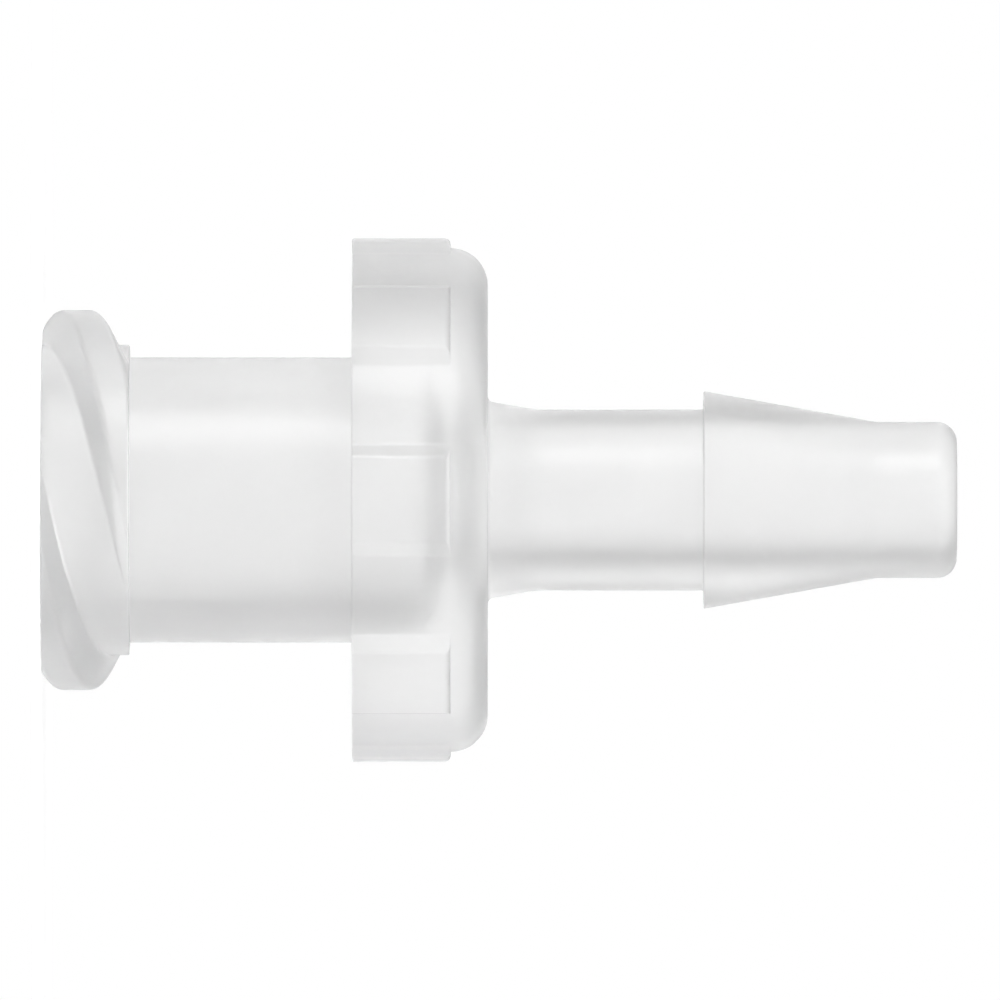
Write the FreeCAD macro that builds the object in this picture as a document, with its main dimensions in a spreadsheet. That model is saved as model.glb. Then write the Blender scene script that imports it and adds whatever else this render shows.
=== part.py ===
import FreeCAD, Part
import math
import os

import Sketcher
from FreeCAD import Vector

# Female luer lock to hose barb adapter, moulded in one piece, in millimetres.
# The origin is the centre of the luer mouth and +Z runs along the bore to the hose tip.
# The part stands on its mouth, as it would on a bench.

DRIVING_SIZES = [
    # luer socket and fluid passage
    ("socket_mouth_radius", 2.15),
    ("socket_taper", 0.06),
    ("socket_depth", 7.9),
    ("shoulder_length", 0.35),
    ("passage_radius", 1.05),
    # locking thread at the mouth: two starts, right handed
    ("lock_core_radius", 3.175),
    ("lock_length", 1.8),
    ("thread_height", 0.71),
    ("thread_crest_width", 0.70),
    ("thread_flank_angle", 25.0),
    ("thread_crest_rounding", 0.16),
    ("thread_lead", 5.0),
    ("thread_starts", 2),
    ("thread_centre", 0.712),
    # barrel between the thread and the collar
    ("barrel_radius", 2.916),
    ("barrel_length", 4.55),
    # grip collar with raised pads
    ("collar_radius", 5.15),
    ("collar_length", 2.77),
    ("collar_corner_rounding", 0.757),
    ("pad_count", 8),
    ("pad_height", 0.20),
    ("pad_end_step", 0.04),
    ("pad_length", 2.01),
    ("pad_crest_angle", 17.7),
    ("pad_base_angle", 26.6),
    # hose stem, barb and tip
    ("stem_root_radius", 2.02),
    ("stem_root_length", 0.98),
    ("stem_radius", 1.85),
    ("stem_length", 4.41),
    ("barb_radius", 2.225),
    ("barb_length", 3.53),
    ("tip_radius", 1.595),
    ("tip_length", 1.65),
    ("tip_rounding", 0.41),
    # how far joined pieces run into each other, and cuts run past the solid
    ("join_overlap", 0.12),
    ("cut_overrun", 0.5),
]


class Size:
    """A length or an angle: its value now, and the sheet formula that keeps it up to date."""

    def __init__(self, value, formula):
        self.value = value
        self.formula = formula

    def __add__(self, other):
        return Size(self.value + other.value, f"({self.formula} + {other.formula})")

    def __sub__(self, other):
        return Size(self.value - other.value, f"({self.formula} - {other.formula})")

    def __mul__(self, other):
        return Size(self.value * other.value, f"({self.formula} * {other.formula})")

    def __truediv__(self, other):
        return Size(self.value / other.value, f"({self.formula} / {other.formula})")

    def __neg__(self):
        return Size(-self.value, f"(-1 * {self.formula})")


def number(value):
    """A plain number that no sheet cell drives."""
    return Size(value, repr(value))


def sine(angle):
    return Size(math.sin(math.radians(angle.value)), f"sin({angle.formula} * 1 deg)")


def cosine(angle):
    return Size(math.cos(math.radians(angle.value)), f"cos({angle.formula} * 1 deg)")


def tangent(angle):
    return Size(math.tan(math.radians(angle.value)), f"tan({angle.formula} * 1 deg)")


ZERO = number(0.0)
TWO = number(2.0)
FULL_TURN = 360.0
HALF_TURN = 180.0
RIGHT_ANGLE = number(90.0)
# where the first thread ridge begins round the axis, clear of the round faces' seams at +X
FIRST_START_ANGLE = -30.0


def fill_sheet(doc):
    """The sheet of driving sizes, and the same sizes for the formulas below."""
    sheet = doc.addObject("Spreadsheet::Sheet", "Sizes")
    sizes = {}
    for row, (alias, value) in enumerate(DRIVING_SIZES, start=1):
        sheet.set(f"A{row}", alias)
        sheet.set(f"B{row}", str(value))
        sheet.setAlias(f"B{row}", alias)
        sizes[alias] = Size(value, f"Sizes.{alias}")
    doc.recompute()
    return sizes


def origin_feature(body, role):
    return next(o for o in body.Origin.OriginFeatures if o.Role == role)


def new_sketch(body, name, plane, lift=None, turn=0.0):
    """An empty sketch on one of the body's own origin planes.

    lift raises it along its normal, and turn swings it about its own upright axis, in degrees.
    """
    sketch = body.newObject("Sketcher::SketchObject", name)
    sketch.AttachmentSupport = [(origin_feature(body, plane), "")]
    sketch.MapMode = "FlatFace"
    if turn:
        swing = FreeCAD.Rotation(Vector(0, 1, 0), turn)
        sketch.AttachmentOffset = FreeCAD.Placement(Vector(), swing)
    if lift is not None:
        sketch.AttachmentOffset = FreeCAD.Placement(Vector(0, 0, lift.value), FreeCAD.Rotation())
        sketch.setExpression("AttachmentOffset.Base.z", lift.formula)
    return sketch


def pin_coordinate(sketch, kind, geometry, end, size):
    """Hold one coordinate of a sketch point to a size, or to the axis when it is zero."""
    if size is ZERO:
        axis = -2 if kind == "DistanceX" else -1
        sketch.addConstraint(Sketcher.Constraint("PointOnObject", geometry, end, axis))
        return
    index = sketch.addConstraint(
        Sketcher.Constraint(kind, -1, 1, geometry, end, size.value)
    )
    sketch.setExpression(f"Constraints[{index}]", size.formula)


def arc_edge(centre, start, end):
    """The shorter arc about a centre from one point to the other, and whether it runs clockwise."""
    a0 = math.atan2(start.y - centre.y, start.x - centre.x)
    a1 = math.atan2(end.y - centre.y, end.x - centre.x)
    turn = (a1 - a0) % (2 * math.pi)
    clockwise = turn > math.pi
    if clockwise:
        a0, a1 = a1, a0
    circle = Part.Circle(centre, Vector(0, 0, 1), (start - centre).Length)
    return Part.ArcOfCircle(circle, a0, a1), clockwise


def draw_outline(sketch, corners):
    """A closed outline through corners (x, y), or (x, y, arc centre) where an arc leads to the next.

    A corner that ends an arc is held by the one coordinate that changes most along the arc there,
    as the arc's radius gives the other.
    """
    START, END, CENTRE = 1, 2, 3
    points = [Vector(c[0].value, c[1].value, 0) for c in corners]
    leaving, arriving = [], []
    for i, corner in enumerate(corners):
        following = points[(i + 1) % len(points)]
        if len(corner) == 3:
            centre = Vector(corner[2][0].value, corner[2][1].value, 0)
            edge, clockwise = arc_edge(centre, points[i], following)
            geometry = sketch.addGeometry(edge)
            pin_coordinate(sketch, "DistanceX", geometry, CENTRE, corner[2][0])
            pin_coordinate(sketch, "DistanceY", geometry, CENTRE, corner[2][1])
        else:
            clockwise = False
            geometry = sketch.addGeometry(Part.LineSegment(points[i], following))
        leaving.append((geometry, END if clockwise else START))
        arriving.append((geometry, START if clockwise else END))
    for i, corner in enumerate(corners):
        geometry, end = leaving[i]
        before, before_end = arriving[i - 1]
        sketch.addConstraint(Sketcher.Constraint("Coincident", before, before_end, geometry, end))
        held = ["DistanceX", "DistanceY"]
        if len(corners[i - 1]) == 3:
            from_centre = points[i] - Vector(*(c.value for c in corners[i - 1][2]), 0)
            held.remove("DistanceX" if abs(from_centre.x) > abs(from_centre.y) else "DistanceY")
        for kind in held:
            pin_coordinate(sketch, kind, geometry, end, corner[0 if kind == "DistanceX" else 1])


def revolve(body, kind, name, corners):
    """A full turn of an outline (radius, height) about the body's Z axis, added or cut away."""
    sketch = new_sketch(body, name + "Outline", "XZ_Plane")
    draw_outline(sketch, corners)
    feature = body.newObject(kind, name)
    feature.Profile = sketch
    feature.ReferenceAxis = (sketch, ["V_Axis"])
    feature.Angle = FULL_TURN
    return feature


def repeat_round(body, name, feature, count):
    """Copies of a feature evenly round the body's Z axis."""
    pattern = body.newObject("PartDesign::PolarPattern", name)
    pattern.Originals = [feature]
    pattern.Axis = (origin_feature(body, "Z_Axis"), [""])
    pattern.Angle = FULL_TURN
    pattern.Occurrences = int(count.value)
    pattern.setExpression("Occurrences", count.formula)
    body.Tip = pattern
    return pattern


def circle_edges(shape, radius, height):
    """Names of the shape's round edges about the Z axis at a radius and a height."""
    names = []
    for i, edge in enumerate(shape.Edges, start=1):
        curve = edge.Curve
        if not isinstance(curve, Part.Circle):
            continue
        level = abs(curve.Center.z - height.value) < 1e-6
        if level and abs(curve.Radius - radius.value) < 1e-6:
            names.append(f"Edge{i}")
    return names


def round_edge(body, name, radius, height, rounding):
    """A fillet on the outer edge that the body now has at a radius and a height."""
    base = body.Tip
    fillet = body.newObject("PartDesign::Fillet", name)
    fillet.Base = (base, circle_edges(base.Shape, radius, height))
    fillet.Radius = rounding.value
    fillet.setExpression("Radius", rounding.formula)
    body.Tip = fillet
    return fillet


def lock_core(body, s):
    """The plain cylinder under the locking thread, open end at the origin."""
    return revolve(body, "PartDesign::Revolution", "LockCore", [
        (ZERO, ZERO),
        (s["lock_core_radius"], ZERO),
        (s["lock_core_radius"], s["lock_length"]),
        (ZERO, s["lock_length"]),
    ])


def thread_section(body, name, s, crest_radius, turn):
    """One thread ridge where it begins, cut through by the XZ plane turned about the axis.

    The first ridge reaches thread_centre on the -X side, and the others evenly round from there.
    """
    rounding = s["thread_crest_rounding"]
    flank = s["thread_flank_angle"]
    below_centre = s["thread_lead"] * number((HALF_TURN - FIRST_START_ANGLE) / FULL_TURN)
    middle = s["thread_centre"] - below_centre
    half_crest = s["thread_crest_width"] / TWO
    root_radius = s["lock_core_radius"] - s["join_overlap"]
    half_root = half_crest + (crest_radius - root_radius) * tangent(flank)
    # each crest corner turns by a right angle less the flank angle
    corner_run = rounding * tangent((RIGHT_ANGLE - flank) / TWO)
    crest_end = half_crest - corner_run
    flank_radius = crest_radius - corner_run * cosine(flank)
    flank_end = half_crest + corner_run * sine(flank)
    centre_radius = crest_radius - rounding
    sketch = new_sketch(body, name, "XZ_Plane", turn=turn)
    draw_outline(sketch, [
        (root_radius, middle - half_root),
        (flank_radius, middle - flank_end, (centre_radius, middle - crest_end)),
        (crest_radius, middle - crest_end),
        (crest_radius, middle + crest_end, (centre_radius, middle + crest_end)),
        (flank_radius, middle + flank_end),
        (root_radius, middle + half_root),
    ])
    return sketch


def thread_ridge(body, name, s, crest_radius, turn):
    """One start of the thread: a full turn that begins below the mouth and ends past the lock."""
    sketch = thread_section(body, name + "Section", s, crest_radius, turn)
    ridge = body.newObject("PartDesign::AdditiveHelix", name)
    ridge.Profile = sketch
    ridge.ReferenceAxis = (sketch, ["V_Axis"])
    ridge.Mode = "pitch-height-angle"
    ridge.Pitch = s["thread_lead"].value
    ridge.Height = s["thread_lead"].value
    ridge.setExpression("Pitch", s["thread_lead"].formula)
    ridge.setExpression("Height", s["thread_lead"].formula)
    ridge.LeftHanded = False
    ridge.HasBeenEdited = True
    # merging faces would spoil the helical ones
    ridge.Refine = False


def lock_thread(body, s):
    """All starts of the thread, then trimmed to the mouth and to the lock's end."""
    crest_radius = s["lock_core_radius"] + s["thread_height"]
    starts = int(s["thread_starts"].value)
    for start in range(starts):
        turn = FIRST_START_ANGLE + FULL_TURN * start / starts
        thread_ridge(body, f"ThreadRidge{start + 1}", s, crest_radius, turn)
    outside = crest_radius + s["cut_overrun"]
    reach = s["thread_lead"]
    below = -reach
    above = s["lock_length"] + reach
    revolve(body, "PartDesign::Groove", "MouthTrim", [
        (ZERO, below), (outside, below), (outside, ZERO), (ZERO, ZERO),
    ])
    revolve(body, "PartDesign::Groove", "LockEndTrim", [
        (ZERO, s["lock_length"]), (outside, s["lock_length"]), (outside, above), (ZERO, above),
    ])


def barrel_to_tip(body, s, level):
    """Barrel, collar, tapered stem root, stem, barb and tip, as one turned outline."""
    root_end = level["collar_end"] + s["stem_root_length"]
    return revolve(body, "PartDesign::Revolution", "BarrelToTip", [
        (ZERO, s["lock_length"]),
        (s["barrel_radius"], s["lock_length"]),
        (s["barrel_radius"], level["collar_start"]),
        (s["collar_radius"], level["collar_start"]),
        (s["collar_radius"], level["collar_end"]),
        (s["stem_root_radius"], level["collar_end"]),
        (s["stem_radius"], root_end),
        (s["stem_radius"], level["barb_start"]),
        (s["barb_radius"], level["barb_start"]),
        (s["tip_radius"], level["barb_end"]),
        (s["tip_radius"], level["tip_end"]),
        (ZERO, level["tip_end"]),
    ])


def grip_pads(body, s, level):
    """Raised pads round the collar, with sloped sides and a rounded end towards the hose."""
    crest_radius = s["collar_radius"] + s["pad_height"]
    half_crest = s["pad_crest_angle"] / TWO
    half_base = s["pad_base_angle"] / TWO
    base_x = s["collar_radius"] * sine(half_base)
    base_y = s["collar_radius"] * cosine(half_base)
    crest_x = crest_radius * sine(half_crest)
    crest_y = crest_radius * cosine(half_crest)
    inner_y = base_y - s["join_overlap"]
    sketch = new_sketch(body, "PadSection", "XY_Plane", lift=level["collar_start"])
    draw_outline(sketch, [
        (-base_x, inner_y),
        (base_x, inner_y),
        (base_x, base_y),
        (crest_x, crest_y, (ZERO, ZERO)),
        (-crest_x, crest_y),
        (-base_x, base_y),
    ])
    pad = body.newObject("PartDesign::Pad", "GripPad")
    pad.Profile = sketch
    pad.Length = s["pad_length"].value
    pad.setExpression("Length", s["pad_length"].formula)
    repeat_round(body, "GripPads", pad, s["pad_count"])
    # the quarter round stops a small step above the collar's own surface
    step_radius = s["collar_radius"] + s["pad_end_step"]
    pad_end = level["collar_start"] + s["pad_length"]
    round_start = pad_end - (crest_radius - step_radius)
    outside = crest_radius + s["cut_overrun"]
    beyond = pad_end + s["cut_overrun"]
    revolve(body, "PartDesign::Groove", "PadEndRound", [
        (step_radius, pad_end, (step_radius, round_start)),
        (crest_radius, round_start),
        (outside, round_start),
        (outside, beyond),
        (step_radius, beyond),
    ])


def luer_bore(body, s, level):
    """The tapered socket, its sloped shoulder and the straight passage out of the tip."""
    slope = s["socket_taper"] / TWO
    before_mouth = -s["cut_overrun"]
    past_tip = level["tip_end"] + s["cut_overrun"]
    shoulder_end = s["socket_depth"] + s["shoulder_length"]
    return revolve(body, "PartDesign::Groove", "LuerBore", [
        (ZERO, before_mouth),
        (s["socket_mouth_radius"] + slope * s["cut_overrun"], before_mouth),
        (s["socket_mouth_radius"] - slope * s["socket_depth"], s["socket_depth"]),
        (s["passage_radius"], shoulder_end),
        (s["passage_radius"], past_tip),
        (ZERO, past_tip),
    ])


def heights(s):
    """Where each stretch of the part starts or ends along its axis."""
    collar_start = s["lock_length"] + s["barrel_length"]
    collar_end = collar_start + s["collar_length"]
    barb_start = collar_end + s["stem_length"]
    barb_end = barb_start + s["barb_length"]
    return {
        "collar_start": collar_start,
        "collar_end": collar_end,
        "barb_start": barb_start,
        "barb_end": barb_end,
        "tip_end": barb_end + s["tip_length"],
    }


def make_fitting(doc, s):
    """The whole fitting as one body."""
    level = heights(s)
    body = doc.addObject("PartDesign::Body", "Fitting")
    body.Label = "luer_barb_fitting"
    body.Placement = FreeCAD.Placement()
    lock_core(body, s)
    doc.recompute()
    lock_thread(body, s)
    barrel_to_tip(body, s, level)
    doc.recompute()
    round_edge(body, "CollarCorner", s["collar_radius"], level["collar_end"],
               s["collar_corner_rounding"])
    doc.recompute()
    round_edge(body, "TipRound", s["tip_radius"], level["tip_end"], s["tip_rounding"])
    doc.recompute()
    grip_pads(body, s, level)
    doc.recompute()
    before = body.Shape.Volume
    luer_bore(body, s, level)
    doc.recompute()
    if body.Shape.Volume >= before:
        raise RuntimeError("the bore cut nothing")
    return body


def check_document(doc, bodies):
    """Stop if a feature failed or a body is not one sound solid."""
    for item in doc.Objects:
        if "Invalid" in item.State or "Error" in item.State:
            raise RuntimeError(f"{item.Label} failed: {item.State}")
    for body in bodies:
        shape = body.Shape
        if shape.isNull() or not shape.isValid() or len(shape.Solids) != 1:
            raise RuntimeError(f"{body.Label} is not one valid solid")


def write_parts(bodies):
    os.makedirs("parts", exist_ok=True)
    for body in bodies:
        body.Shape.exportStep(f"parts/{body.Label}.step")
        box = body.Shape.optimalBoundingBox()
        print(f"{body.Label}: {body.Shape.Volume:.2f} mm3, "
              f"{box.XLength:.3f} x {box.YLength:.3f} x {box.ZLength:.3f} mm")


doc = FreeCAD.newDocument("LuerBarbFitting")
sizes = fill_sheet(doc)
fitting = make_fitting(doc, sizes)
check_document(doc, [fitting])
write_parts([fitting])
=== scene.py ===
import math

import bpy
import numpy as np
from mathutils import Matrix, Vector

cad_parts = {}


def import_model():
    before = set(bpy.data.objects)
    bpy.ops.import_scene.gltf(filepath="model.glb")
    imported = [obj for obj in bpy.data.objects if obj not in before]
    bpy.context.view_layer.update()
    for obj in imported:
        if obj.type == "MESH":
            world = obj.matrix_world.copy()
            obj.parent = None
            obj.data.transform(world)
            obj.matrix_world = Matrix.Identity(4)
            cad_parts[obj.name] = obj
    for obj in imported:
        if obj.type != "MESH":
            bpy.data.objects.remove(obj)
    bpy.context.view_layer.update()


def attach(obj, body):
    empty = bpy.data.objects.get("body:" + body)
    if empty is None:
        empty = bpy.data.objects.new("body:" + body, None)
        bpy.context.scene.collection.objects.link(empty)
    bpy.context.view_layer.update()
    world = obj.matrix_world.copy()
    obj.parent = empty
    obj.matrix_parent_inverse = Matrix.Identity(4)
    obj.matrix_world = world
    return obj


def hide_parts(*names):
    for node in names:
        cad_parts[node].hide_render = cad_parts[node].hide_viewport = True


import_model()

NODE = "luer_barb_fitting"

WHITE = (1, 1, 1, 1)

# The photograph: its width, its scale, and how far from its left edge the part's mouth face is.
PHOTO_WIDTH_PX = 1000
PX_PER_MM = 48.9
MOUTH_FACE_PX = 41.8

# The camera: its lens and sensor in millimetres, and the nearest and farthest that it sees in metres.
LENS_MM = 1500.0
SENSOR_MM = 36.0
CAMERA_NEAR = 0.01
CAMERA_FAR = 100.0

# Sizes in millimetres. Heights run from the luer mouth at zero to the hose tip.
MM = 0.001
SOCKET_MOUTH_R = 2.15
SOCKET_TAPER = 0.06
SOCKET_DEPTH = 7.9
SHOULDER_LENGTH = 0.35
PASSAGE_R = 1.05
LOCK_CORE_R = 3.175
LOCK_LENGTH = 1.8
THREAD_CREST_R = LOCK_CORE_R + 0.71
THREAD_CREST_WIDTH = 0.70
THREAD_FLANK_ANGLE = 25.0
THREAD_LEAD = 5.0
THREAD_STARTS = 2
THREAD_CENTRE = 0.712
BARREL_R = 2.916
COLLAR_START = 6.35
COLLAR_R = 5.15
COLLAR_END = 9.12
COLLAR_CORNER = 0.757
PAD_COUNT = 8
PAD_HEIGHT = 0.20
PAD_END = COLLAR_START + 2.01
PAD_CREST_ANGLE = 18.8
PAD_BASE_ANGLE = 25.4
STEM_ROOT_R = 2.02
STEM_ROOT_END = COLLAR_END + 0.98
STEM_R = 1.85
BARB_START = 13.53
BARB_R = 2.225
BARB_END = 17.06
TIP_R = 1.595
TIP_END = 18.71
TIP_ROUND = 0.41

# Roundings of the edges that a mould leaves, and of the bends, in millimetres.
MOUTH_INNER_EDGE = 0.10
LOCK_EDGE = 0.05
THREAD_CREST_ROUND = 0.16
THREAD_ROOT_ROUND = 0.08
RIM_EDGE = 0.035
PAD_SIDE_ROUND = 0.14
PAD_END_ROUND = 0.12
BARREL_ROOT_ROUND = 0.03
STEM_ROOT_ROUND = 0.12
STEM_WAIST_ROUND = 2.0
BARB_EDGE = 0.03
BARB_ROOT_ROUND = 0.03
BARB_END_ROUND = 1.0
TIP_INNER_EDGE = 0.06
SHOULDER_ROUND = 0.25

# The floor: how far below the part it lies in millimetres, its radius in metres, its colour, the
# light that lifts it to white where it is seen, and the degrees between its corners.
FLOOR_GAP = 0.002
FLOOR_RADIUS = 0.02
FLOOR_GREY = 0.8
FLOOR_LIFT = 0.5
FLOOR_STEP = 5

# Brightness of the studio: degrees round the part's axis from straight behind it, strength.
STUDIO = ((-180, 1.05), (-150, 0.95), (-125, 0.9), (-100, 1.05), (-84, 0.6), (-70, 0.28), (-55, 0.2),
          (-42, 0.32), (-31, 0.85), (-22, 1.0), (0, 0.95), (25, 1.05), (48, 1.2), (64, 0.95), (84, 0.6),
          (98, 0.75), (115, 1.0), (150, 0.95), (180, 1.05))
STUDIO_PEAK = 1.3

# The studio towards the part's hose end: the heights of a direction between which it changes, its
# share of the brightness there in front of the part and behind it, and how far in depth these two
# blend into each other.
OVERHEAD_START = 0.15
OVERHEAD_FULL = 0.55
OVERHEAD_FRONT = 1.1
OVERHEAD_BACK = 0.25
OVERHEAD_DEPTH = 0.5

# Strip lamp: its degrees round the axis, how far it reaches along the axis, and its strength.
STRIP = ((-180, 0), (102, 0), (113, 0.9), (119, 1), (126, 0.8), (136, 0), (180, 0))
STRIP_REACH = 0.15
STRIP_END = 0.42
STRIP_STRENGTH = 4.2

# The resin: its refraction, the share of light that its skin lets in, and the density of its haze
# and how strongly that scatters forwards.
RESIN_IOR = 1.49
CLEAR_SHARE = 0.85
HAZE_DENSITY = 60.0
HAZE_FORWARD = 0.85

# Roughness of the moulded skin, and how far from the bore, in millimetres, its wall's finish starts
# and ends to change to the outside's.
OUTER_ROUGHNESS = 0.3
BORE_ROUGHNESS = 0.4
BORE_NEAR = 0.04
BORE_FAR = 0.10

# Relief of the skin: feature size and height in millimetres, and detail.
RIPPLE = (1.2, 0.006, 3)
GRAIN = (0.20, 0.003, 1)

# Clouds in the resin's colour: feature size in millimetres and detail, the two values of the noise
# that get the darkest and the lightest shade, and these shades.
CLOUD = (0.8, 2)
CLOUD_SPREAD = (0.3, 0.7)
CLOUD_SHADES = (0.93, 0.97)

# Mesh steps: degrees along an arc, the gap from an edge to the row that supports it, degrees
# between columns, and the points on a small edge, on a pad's end and on the collar's corner.
ARC_STEP = 12.0
SUPPORT = 0.02
COLUMN_STEP = 1.3
EDGE_POINTS = 5
PAD_END_POINTS = 7
CORNER_POINTS = 12

# Shares of the way across the three flat rings at which their rows lie.
MOUTH_SHARES = (0.0, 0.02, 0.5, 0.98)
LOCK_END_SHARES = (0.03, 0.5, 0.97)
COLLAR_FACE_SHARES = (0.01, 0.5, 0.99)

# Points that agree to this, in millimetres, are one. Edges that turn more than this, in degrees,
# are sharp.
SAME_PLACE = 1e-5
SHARP_TURN = 38.0

LIGHT_BOUNCES = 32


def rounded_path(corners):
    """Points (a, b) along a path of straight runs whose corners are arcs.

    Each corner is (a, b) or (a, b, radius). An arc touches both runs at radius times the tangent of
    half the turn from the corner, and each run gets a point close to each end, so that smooth
    shading stays flat between them.
    """
    spots = [np.array(c[:2], float) for c in corners]
    radii = [c[2] if len(c) > 2 else 0.0 for c in corners]
    stretches = []
    for i, spot in enumerate(spots):
        if i in (0, len(spots) - 1) or not radii[i]:
            stretches.append(spot[None])
            continue
        before = (spot - spots[i - 1]) / np.linalg.norm(spot - spots[i - 1])
        after = (spots[i + 1] - spot) / np.linalg.norm(spots[i + 1] - spot)
        turn = math.atan2(before[0] * after[1] - before[1] * after[0], before @ after)
        reach = radii[i] * math.tan(abs(turn) / 2)
        side = np.array([-before[1], before[0]]) * math.copysign(1, turn)
        centre = spot - before * reach + side * radii[i]
        steps = max(2, math.ceil(math.degrees(abs(turn)) / ARC_STEP))
        swing = np.linspace(0, turn, steps + 1)[:, None]
        start = -side * radii[i]
        across = np.array([-start[1], start[0]])
        stretches.append(centre + np.cos(swing) * start + np.sin(swing) * across)
    points = [stretches[0]]
    for arrived in stretches[1:]:
        left = points[-1][-1]
        run = arrived[0] - left
        length = np.linalg.norm(run)
        if length > 4 * SUPPORT:
            near = run / length * SUPPORT
            points.append(np.array([left + near, arrived[0] - near]))
        points.append(arrived)
    return np.vstack(points)


def pad_section():
    """Height of the collar surface over one pitch of the pads: degrees from the pad's middle, height.

    A flat crest, two straight slopes and flat valleys, with small arcs between them.
    """
    mm_per_degree = math.radians(1) * COLLAR_R
    half_pitch = 180.0 / PAD_COUNT * mm_per_degree
    base = PAD_BASE_ANGLE / 2 * mm_per_degree
    crest = PAD_CREST_ANGLE / 2 * mm_per_degree
    path = rounded_path([
        (-half_pitch, 0),
        (-base, 0, PAD_SIDE_ROUND),
        (-crest, PAD_HEIGHT, PAD_SIDE_ROUND),
        (crest, PAD_HEIGHT, PAD_SIDE_ROUND),
        (base, 0, PAD_SIDE_ROUND),
        (half_pitch, 0),
    ])
    return path[:, 0] / mm_per_degree, path[:, 1]


def thread_section():
    """Radius of the lock's surface over one pitch of the thread: distance along the axis, radius."""
    pitch = THREAD_LEAD / THREAD_STARTS
    crest = THREAD_CREST_WIDTH / 2
    slope = math.tan(math.radians(THREAD_FLANK_ANGLE))
    root = crest + (THREAD_CREST_R - LOCK_CORE_R) * slope
    path = rounded_path([
        (-pitch / 2, LOCK_CORE_R),
        (-root, LOCK_CORE_R, THREAD_ROOT_ROUND),
        (-crest, THREAD_CREST_R, THREAD_CREST_ROUND),
        (crest, THREAD_CREST_R, THREAD_CREST_ROUND),
        (root, LOCK_CORE_R, THREAD_ROOT_ROUND),
        (pitch / 2, LOCK_CORE_R),
    ])
    return path[:, 0], path[:, 1]


def column_angles():
    """Angles round the axis in degrees, from 0 to 360: on every bend of the pads, and evenly between."""
    degrees, _ = pad_section()
    stretches = []
    for start, end in zip(degrees[:-1], degrees[1:]):
        steps = max(1, math.ceil((end - start) / COLUMN_STEP))
        stretches.append(np.linspace(start, end, steps, endpoint=False))
    one_pitch = np.concatenate(stretches)
    pitch = 360.0 / PAD_COUNT
    one_pitch = np.unique(np.round(one_pitch % pitch, 6))
    around = (one_pitch + pitch * np.arange(PAD_COUNT)[:, None]).ravel()
    return np.append(around, 360.0)


ANGLES = column_angles()


def quarter_turn(count):
    """Angles from zero to a right angle, in radians."""
    return np.linspace(0, math.pi / 2, count)


def turned(path):
    """Rows (radius, height) of a path turned round the axis: the same at every angle."""
    radius = np.repeat(path[:, :1], len(ANGLES), axis=1)
    height = np.repeat(path[:, 1:], len(ANGLES), axis=1)
    return radius, height


def level_ring(inner, outer, height, shares):
    """Rows of a flat ring at one height, from one edge to the other by shares of the way."""
    radius = inner + (outer - inner) * np.asarray(shares, float)[:, None]
    return radius, np.full_like(radius, height)


def lock_radius(height):
    """Radius of the threaded lock at a height under each angle: the ridges climb one lead a turn."""
    along, radius = thread_section()
    pitch = THREAD_LEAD / THREAD_STARTS
    climb = THREAD_LEAD * (ANGLES - 180.0) / 360.0
    offset = (height - THREAD_CENTRE - climb + pitch / 2) % pitch - pitch / 2
    return np.interp(offset, along, radius)


def lock_rows():
    """Rows of the lock between its two ends.

    They follow the ridges, so that every row lies on one line of the thread's section all the way
    round, and rest on the lock's ends where the thread runs out of it. The two end edges are quarter
    rounds, taken off the radius.
    """
    along, _ = thread_section()
    pitch = THREAD_LEAD / THREAD_STARTS
    climb = THREAD_LEAD * (ANGLES - 180.0) / 360.0
    turns = np.arange(-THREAD_STARTS, THREAD_STARTS + 1)
    lines = np.unique(np.round((along + pitch * turns[:, None]).ravel(), 9)) + THREAD_CENTRE
    helical = np.clip(lines[:, None] + climb, LOCK_EDGE, LOCK_LENGTH - LOCK_EDGE)
    swing = quarter_turn(EDGE_POINTS)
    end_height = LOCK_EDGE * (1 - np.cos(swing))
    end_drop = LOCK_EDGE * (1 - np.sin(swing))
    first = np.repeat(end_height[:, None], len(ANGLES), axis=1)
    last = LOCK_LENGTH - first[::-1]
    height = np.vstack([first, helical, last])
    drop = np.concatenate([end_drop, np.zeros(len(helical)), end_drop[::-1]])
    radius = lock_radius(height) - drop[:, None]
    return radius, height


def pad_height():
    """How far the pads stand above the collar at each angle."""
    degrees, raised = pad_section()
    pitch = 360.0 / PAD_COUNT
    return np.interp((ANGLES + pitch / 2) % pitch - pitch / 2, degrees, raised)


def collar_rows():
    """Rows of the collar's side: a small edge at the rim, the pads, their rounded ends, the corner.

    At a pad's end a quarter round leads from its crest to a square step down to the collar.
    """
    raised = pad_height()
    swing = quarter_turn(EDGE_POINTS)[:, None]
    rim_radius = COLLAR_R + raised - RIM_EDGE * (1 - np.sin(swing))
    rim_height = COLLAR_START + RIM_EDGE * (1 - np.cos(swing))
    end_swing = quarter_turn(PAD_END_POINTS)[:, None]
    pad_round_start = PAD_END - PAD_END_ROUND
    pad_left = np.append(PAD_HEIGHT - PAD_END_ROUND * (1 - np.cos(end_swing)), [[0]], axis=0)
    end_radius = COLLAR_R + np.minimum(raised, pad_left)
    end_height = pad_round_start + PAD_END_ROUND * np.append(np.sin(end_swing), [[1]], axis=0)
    side_height = np.array([COLLAR_START + RIM_EDGE + SUPPORT, pad_round_start - SUPPORT])[:, None]
    corner_swing = quarter_turn(CORNER_POINTS)[:, None]
    corner_radius = COLLAR_R - COLLAR_CORNER * (1 - np.cos(corner_swing))
    corner_height = COLLAR_END - COLLAR_CORNER * (1 - np.sin(corner_swing))
    wide = np.ones(len(ANGLES))
    radius = [rim_radius, COLLAR_R + raised + 0 * side_height, end_radius, corner_radius * wide]
    height = [rim_height * wide, side_height * wide, end_height * wide, corner_height * wide]
    return np.vstack(radius), np.vstack(height)


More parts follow.
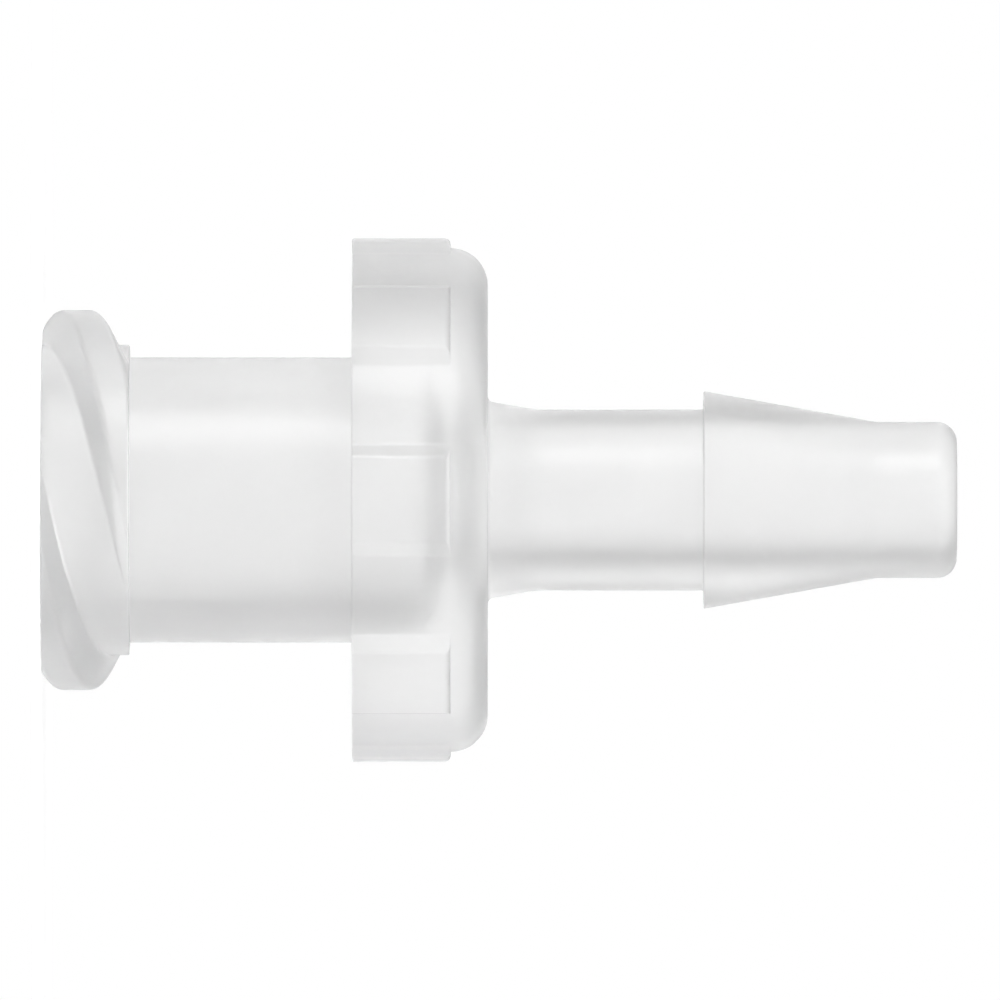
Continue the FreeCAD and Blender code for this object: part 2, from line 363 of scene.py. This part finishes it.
def barrel_rows():
    """Rows of the barrel, from its small root radius at the lock's end to the collar's face."""
    return turned(rounded_path([
        (BARREL_R + BARREL_ROOT_ROUND + SUPPORT, LOCK_LENGTH),
        (BARREL_R, LOCK_LENGTH, BARREL_ROOT_ROUND),
        (BARREL_R, COLLAR_START, BARREL_ROOT_ROUND),
        (BARREL_R + BARREL_ROOT_ROUND + SUPPORT, COLLAR_START),
    ]))


def hose_end_rows():
    """Rows from the collar's back face over the stem, the barb and the tip, and into the bore."""
    slope = SOCKET_TAPER / 2
    socket_floor_r = SOCKET_MOUTH_R - slope * SOCKET_DEPTH
    return turned(rounded_path([
        (COLLAR_R - COLLAR_CORNER, COLLAR_END),
        (STEM_ROOT_R, COLLAR_END, STEM_ROOT_ROUND),
        (STEM_R, STEM_ROOT_END, STEM_WAIST_ROUND),
        (STEM_R, BARB_START, BARB_ROOT_ROUND),
        (BARB_R, BARB_START, BARB_EDGE),
        (TIP_R, BARB_END, BARB_END_ROUND),
        (TIP_R, TIP_END, TIP_ROUND),
        (PASSAGE_R, TIP_END, TIP_INNER_EDGE),
        (PASSAGE_R, SOCKET_DEPTH + SHOULDER_LENGTH, SHOULDER_ROUND),
        (socket_floor_r, SOCKET_DEPTH, SHOULDER_ROUND),
        (SOCKET_MOUTH_R, 0, MOUTH_INNER_EDGE),
        (SOCKET_MOUTH_R + MOUTH_INNER_EDGE, 0),
    ]))


def fitting_rows():
    """All rows of the fitting, once round its section from the mouth face and back to it."""
    lock_radii, lock_heights = lock_rows()
    barrel_radii, barrel_heights = barrel_rows()
    collar_radii, collar_heights = collar_rows()
    hose_radii, hose_heights = hose_end_rows()
    mouth = level_ring(hose_radii[-1], lock_radii[0], 0.0, MOUTH_SHARES)
    lock_end = level_ring(lock_radii[-1], barrel_radii[0], LOCK_LENGTH, LOCK_END_SHARES)
    collar_face = level_ring(barrel_radii[-1], collar_radii[0], COLLAR_START, COLLAR_FACE_SHARES)
    radius = [mouth[0], lock_radii, lock_end[0], barrel_radii, collar_face[0], collar_radii,
              hose_radii[1:]]
    height = [mouth[1], lock_heights, lock_end[1], barrel_heights, collar_face[1], collar_heights,
              hose_heights[1:]]
    return np.vstack(radius), np.vstack(height)


def closed_grid(radius, height):
    """Points and faces of a grid of rows and columns, with points in one place made one.

    Four neighbours of the grid make a face. Where two of them are one point the face is a triangle,
    and where more are it is left out.
    """
    turn = np.radians(ANGLES)
    turn[-1] = 0.0
    points = np.stack([radius * np.cos(turn), radius * np.sin(turn), height], axis=-1)
    rows, columns = radius.shape
    places = np.round(points.reshape(-1, 3) / SAME_PLACE).astype(np.int64)
    _, first, index = np.unique(places, axis=0, return_index=True, return_inverse=True)
    points = points.reshape(-1, 3)[first]
    index = index.reshape(rows, columns)
    corners = np.stack([index[:-1, :-1], index[:-1, 1:], index[1:, 1:], index[1:, :-1]], axis=-1)
    corners = corners.reshape(-1, 4)
    same_as_next = corners == np.roll(corners, -1, axis=1)
    crossed = (corners[:, 0] == corners[:, 2]) | (corners[:, 1] == corners[:, 3])
    repeats = same_as_next.sum(axis=1)
    quads = corners[(repeats == 0) & ~crossed]
    folded = corners[(repeats == 1) & ~crossed]
    keep = ~same_as_next[(repeats == 1) & ~crossed]
    triangles = folded[keep].reshape(-1, 3)
    return points, quads, triangles


def mesh_piece(name, points, quads, triangles):
    """A smooth shaded mesh object at the origin, with edges sharp where the surface turns hard."""
    mesh = bpy.data.meshes.new(name)
    mesh.from_pydata((points * MM).tolist(), [], quads.tolist() + triangles.tolist())
    mesh.validate()
    mesh.polygons.foreach_set("use_smooth", np.ones(len(mesh.polygons), bool))
    mesh.set_sharp_from_angle(angle=math.radians(SHARP_TURN))
    piece = bpy.data.objects.new(name, mesh)
    bpy.context.scene.collection.objects.link(piece)
    return piece


def feed(links, socket, term):
    """Sets a plain number on a socket, or links an output to it."""
    if isinstance(term, (int, float)):
        socket.default_value = term
    else:
        links.new(term, socket)


def calculation(nodes, links, operation, *terms):
    """Result of one sum on numbers or outputs."""
    node = nodes.new("ShaderNodeMath")
    node.operation = operation
    for socket, term in zip(node.inputs, terms):
        feed(links, socket, term)
    return node.outputs[0]


def ranged(nodes, links, value, source, target, kind="SMOOTHSTEP"):
    """A value that goes from one end of the target to the other as it crosses the source range."""
    node = nodes.new("ShaderNodeMapRange")
    node.interpolation_type = kind
    links.new(value, node.inputs["Value"])
    feed(links, node.inputs["From Min"], source[0])
    feed(links, node.inputs["From Max"], source[1])
    feed(links, node.inputs["To Min"], target[0])
    feed(links, node.inputs["To Max"], target[1])
    return node.outputs["Result"]


def bore_roughness(nodes, links, place):
    """Roughness of the skin: the wall of the bore is duller than the outside.

    A place belongs to the bore's wall where its distance from the axis is less than BORE_NEAR beyond
    the bore's radius, and to the outside from BORE_FAR on. The bore's radius is taken as that of the
    mouth up to the shoulder, and as that of the passage behind it.
    """
    parts = nodes.new("ShaderNodeSeparateXYZ")
    links.new(place.outputs["Object"], parts.inputs[0])
    across = nodes.new("ShaderNodeCombineXYZ")
    links.new(parts.outputs["X"], across.inputs["X"])
    links.new(parts.outputs["Y"], across.inputs["Y"])
    distance = nodes.new("ShaderNodeVectorMath")
    distance.operation = "LENGTH"
    links.new(across.outputs[0], distance.inputs[0])
    shoulder = (SOCKET_DEPTH * MM, (SOCKET_DEPTH + SHOULDER_LENGTH) * MM)
    radii = (SOCKET_MOUTH_R * MM, PASSAGE_R * MM)
    bore = ranged(nodes, links, parts.outputs["Z"], shoulder, radii, "LINEAR")
    beyond = calculation(nodes, links, "SUBTRACT", distance.outputs["Value"], bore)
    limits = (BORE_NEAR * MM, BORE_FAR * MM)
    return ranged(nodes, links, beyond, limits, (BORE_ROUGHNESS, OUTER_ROUGHNESS))


def noise(nodes, links, place, size, detail):
    """Noise in object coordinates with features of a size in millimetres."""
    texture = nodes.new("ShaderNodeTexNoise")
    texture.inputs["Scale"].default_value = 1 / (size * MM)
    texture.inputs["Detail"].default_value = detail
    links.new(place.outputs["Object"], texture.inputs["Vector"])
    return texture.outputs["Fac"]


def relief(nodes, links, place, size, height, detail):
    """A bump whose height follows noise. Size and height are in millimetres."""
    bump = nodes.new("ShaderNodeBump")
    bump.inputs["Distance"].default_value = height * MM
    links.new(noise(nodes, links, place, size, detail), bump.inputs["Height"])
    return bump


def skin_relief(nodes, links, place):
    """Normal of the moulded skin: a slow ripple with a fine grain on it."""
    ripple = relief(nodes, links, place, *RIPPLE)
    grain = relief(nodes, links, place, *GRAIN)
    links.new(ripple.outputs["Normal"], grain.inputs["Normal"])
    return grain.outputs["Normal"]


def resin_colour(nodes, links, place):
    """Colour of the resin: a neutral white that is a little cloudy."""
    shades = nodes.new("ShaderNodeValToRGB")
    for stop, position, shade in zip(shades.color_ramp.elements, CLOUD_SPREAD, CLOUD_SHADES):
        stop.position = position
        stop.color = (shade, shade, shade, 1)
    links.new(noise(nodes, links, place, *CLOUD), shades.inputs["Fac"])
    return shades.outputs["Color"]


def polypropylene():
    """Natural polypropylene: clear resin with a smooth moulded skin and a haze that lets light through."""
    material = bpy.data.materials.new("natural_polypropylene")
    material.use_nodes = True
    nodes, links = material.node_tree.nodes, material.node_tree.links
    nodes.clear()
    output = nodes.new("ShaderNodeOutputMaterial")
    skin = nodes.new("ShaderNodeBsdfPrincipled")
    skin.inputs["IOR"].default_value = RESIN_IOR
    skin.inputs["Transmission Weight"].default_value = CLEAR_SHARE
    haze = nodes.new("ShaderNodeVolumeScatter")
    haze.inputs["Color"].default_value = WHITE
    haze.inputs["Density"].default_value = HAZE_DENSITY
    haze.inputs["Anisotropy"].default_value = HAZE_FORWARD
    place = nodes.new("ShaderNodeTexCoord")
    links.new(resin_colour(nodes, links, place), skin.inputs["Base Color"])
    links.new(bore_roughness(nodes, links, place), skin.inputs["Roughness"])
    links.new(skin_relief(nodes, links, place), skin.inputs["Normal"])
    links.new(skin.outputs["BSDF"], output.inputs["Surface"])
    links.new(haze.outputs["Volume"], output.inputs["Volume"])
    return material


def paper():
    """Matt pale paper that keeps a shadow, lifted to white where the camera, gloss or resin shows it."""
    material = bpy.data.materials.new("pale_floor")
    material.use_nodes = True
    nodes, links = material.node_tree.nodes, material.node_tree.links
    nodes.clear()
    output = nodes.new("ShaderNodeOutputMaterial")
    matt = nodes.new("ShaderNodeBsdfDiffuse")
    matt.inputs["Color"].default_value = (FLOOR_GREY, FLOOR_GREY, FLOOR_GREY, 1)
    lift = nodes.new("ShaderNodeEmission")
    path = nodes.new("ShaderNodeLightPath")
    camera_ray, glossy_ray = path.outputs["Is Camera Ray"], path.outputs["Is Glossy Ray"]
    seen = calculation(nodes, links, "MAXIMUM", camera_ray, glossy_ray)
    shown = calculation(nodes, links, "MAXIMUM", seen, path.outputs["Is Transmission Ray"])
    strength = calculation(nodes, links, "MULTIPLY", shown, FLOOR_LIFT)
    both = nodes.new("ShaderNodeAddShader")
    links.new(strength, lift.inputs["Strength"])
    links.new(matt.outputs["BSDF"], both.inputs[0])
    links.new(lift.outputs["Emission"], both.inputs[1])
    links.new(both.outputs[0], output.inputs["Surface"])
    return material


def floor():
    """A round floor just under the part. The camera sees it edge-on in the main view."""
    turn = np.radians(np.arange(0, 360, FLOOR_STEP))
    rim = np.stack([np.cos(turn), np.sin(turn)], axis=1) * FLOOR_RADIUS
    corners = [(x, y, -FLOOR_GAP * MM) for x, y in rim.tolist()]
    mesh = bpy.data.meshes.new("floor")
    mesh.from_pydata(corners, [], [tuple(range(len(corners)))])
    piece = bpy.data.objects.new("floor", mesh)
    bpy.context.scene.collection.objects.link(piece)
    piece.data.materials.append(paper())


def camera():
    """A long lens square to the part's side, turned so that the hose tip points right.

    Its distance is the photo's width on the part times the lens over the sensor's width. A longer
    lens would flatten the picture more, but puts the part out of reach of views from other sides.
    """
    frame_width = PHOTO_WIDTH_PX / PX_PER_MM
    distance = frame_width * LENS_MM / SENSOR_MM
    middle = frame_width / 2 - MOUTH_FACE_PX / PX_PER_MM
    data = bpy.data.cameras.new("side_view")
    data.lens = LENS_MM
    data.sensor_width = SENSOR_MM
    data.clip_start = CAMERA_NEAR
    data.clip_end = CAMERA_FAR
    eye = bpy.data.objects.new("side_view", data)
    right, up, back = Vector((0, 0, 1)), Vector((-1, 0, 0)), Vector((0, -1, 0))
    turn = Matrix((right, up, back)).transposed().to_4x4()
    eye.matrix_world = Matrix.Translation(Vector((0, -distance, middle)) * MM) @ turn
    bpy.context.scene.collection.objects.link(eye)
    bpy.context.scene.camera = eye


def ramp_round(nodes, links, turn, stops, peak):
    """Brightness over a whole turn, eased between stops given as degrees and strength up to the peak."""
    ramp = nodes.new("ShaderNodeValToRGB")
    ramp.color_ramp.interpolation = "EASE"
    elements = ramp.color_ramp.elements
    elements.remove(elements[-1])
    for number, (degrees, strength) in enumerate(stops):
        place = (degrees + 180) / 360
        stop = elements[0] if number == 0 else elements.new(place)
        stop.position = place
        shade = strength / peak
        stop.color = (shade, shade, shade, 1)
    links.new(turn, ramp.inputs["Fac"])
    return ramp.outputs["Color"]


def studio_strength(nodes, links):
    """Strength of the studio in every direction: the room, times its level, plus the strip lamp.

    The room changes with the angle round the part's own axis. Zero is straight behind the part, as
    the camera sees it, and positive angles go over the top of the picture. The level is one, except
    towards the hose end, where it is the overhead share. The strip lamp hangs above and in front,
    and fades out along the axis.
    """
    direction = nodes.new("ShaderNodeTexCoord")
    parts = nodes.new("ShaderNodeSeparateXYZ")
    links.new(direction.outputs["Generated"], parts.inputs[0])
    depth, height = parts.outputs["Y"], parts.outputs["Z"]
    over = calculation(nodes, links, "MULTIPLY", parts.outputs["X"], -1)
    angle = calculation(nodes, links, "ARCTAN2", over, depth)
    turn = ranged(nodes, links, angle, (-math.pi, math.pi), (0, 1), "LINEAR")
    room = ramp_round(nodes, links, turn, STUDIO, STUDIO_PEAK)
    shares = (STUDIO_PEAK * OVERHEAD_FRONT, STUDIO_PEAK * OVERHEAD_BACK)
    overhead = ranged(nodes, links, depth, (-OVERHEAD_DEPTH, OVERHEAD_DEPTH), shares)
    level = ranged(nodes, links, height, (OVERHEAD_START, OVERHEAD_FULL), (STUDIO_PEAK, overhead))
    strip = ramp_round(nodes, links, turn, STRIP, 1)
    along = calculation(nodes, links, "ABSOLUTE", height)
    reach = ranged(nodes, links, along, (STRIP_REACH, STRIP_END), (STRIP_STRENGTH, 0))
    lamp = calculation(nodes, links, "MULTIPLY", strip, reach)
    return calculation(nodes, links, "MULTIPLY_ADD", room, level, lamp)


def world():
    """White behind everything that the camera sees, and a soft studio round the part.

    Straight behind the part the studio is nearly white as well, so its clear walls show that too.
    """
    sky = bpy.data.worlds.new("studio")
    bpy.context.scene.world = sky
    sky.use_nodes = True
    nodes, links = sky.node_tree.nodes, sky.node_tree.links
    nodes.clear()
    output = nodes.new("ShaderNodeOutputWorld")
    studio = nodes.new("ShaderNodeBackground")
    studio.inputs["Color"].default_value = WHITE
    white = nodes.new("ShaderNodeBackground")
    white.inputs["Color"].default_value = WHITE
    path = nodes.new("ShaderNodeLightPath")
    both = nodes.new("ShaderNodeMixShader")
    links.new(studio_strength(nodes, links), studio.inputs["Strength"])
    links.new(path.outputs["Is Camera Ray"], both.inputs["Fac"])
    links.new(studio.outputs["Background"], both.inputs[1])
    links.new(white.outputs["Background"], both.inputs[2])
    links.new(both.outputs["Shader"], output.inputs["Surface"])


def light_paths(cycles):
    """Lets light pass the many walls of the clear part, and keeps gloss sharp after a dull bounce."""
    cycles.blur_glossy = 0.0
    cycles.max_bounces = LIGHT_BOUNCES
    cycles.diffuse_bounces = LIGHT_BOUNCES
    cycles.glossy_bounces = LIGHT_BOUNCES
    cycles.transmission_bounces = LIGHT_BOUNCES
    cycles.volume_bounces = LIGHT_BOUNCES


scene = bpy.context.scene
scene.view_settings.view_transform = "Standard"
light_paths(scene.cycles)
camera()
world()
floor()

points, quads, triangles = closed_grid(*fitting_rows())
fitting = mesh_piece("luer_hose_barb", points, quads, triangles)
fitting.data.materials.append(polypropylene())
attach(fitting, "root")
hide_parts(NODE)
